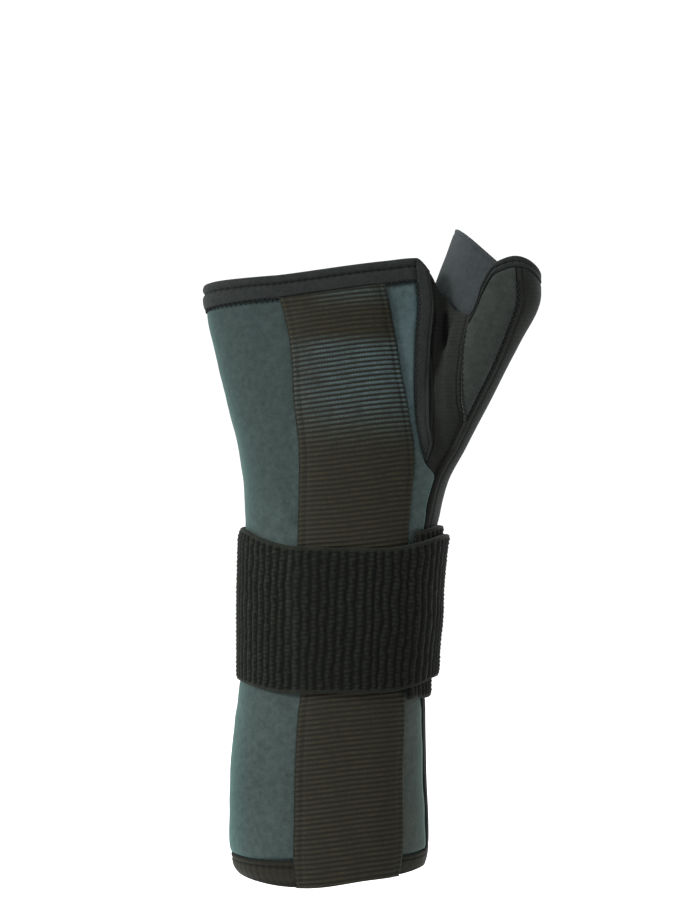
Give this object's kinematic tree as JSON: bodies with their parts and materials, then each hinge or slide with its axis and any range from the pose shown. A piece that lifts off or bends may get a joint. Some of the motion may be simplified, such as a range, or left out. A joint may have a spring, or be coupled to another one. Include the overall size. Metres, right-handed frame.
{
  "type": "thumb spica splint",
  "caption": "Right-hand wrist and thumb splint: padded sleeve with a thumb stall, ribbed splint pocket, wide elastic wrist strap and a narrow thumb strap.",
  "frame": {"origin": "on the axis of the wrist opening, at the height of the wrist strap's middle", "axes": "+Z from the forearm to the fingers, -Y is the palm side, +X is the thumb side"},
  "size_m": [0.1291, 0.0634, 0.2461],
  "materials": {
    "padded_knit": "matte brushed knit",
    "webbing": "ribbed woven webbing with a low sheen",
    "binding": "matte stretch knit",
    "elastic": "matte ribbed elastic",
    "felt": "matte brushed felt"
  },
  "bodies": {
    "root": {"sleeve": "padded_knit", "side_panel": "binding", "web_tape_front": "binding", "web_tape_back": "binding", "web_gusset_front": "binding", "web_gusset_back": "binding", "stall_panel_front": "padded_knit", "stall_panel_back": "padded_knit", "splint_pocket": "webbing", "palm_binding": "binding", "forearm_binding": "binding", "thumb_binding": "binding", "wrist_strap": "elastic", "wrist_strap_tab": "elastic", "thumb_strap": "felt"}
  },
  "joints": []
}
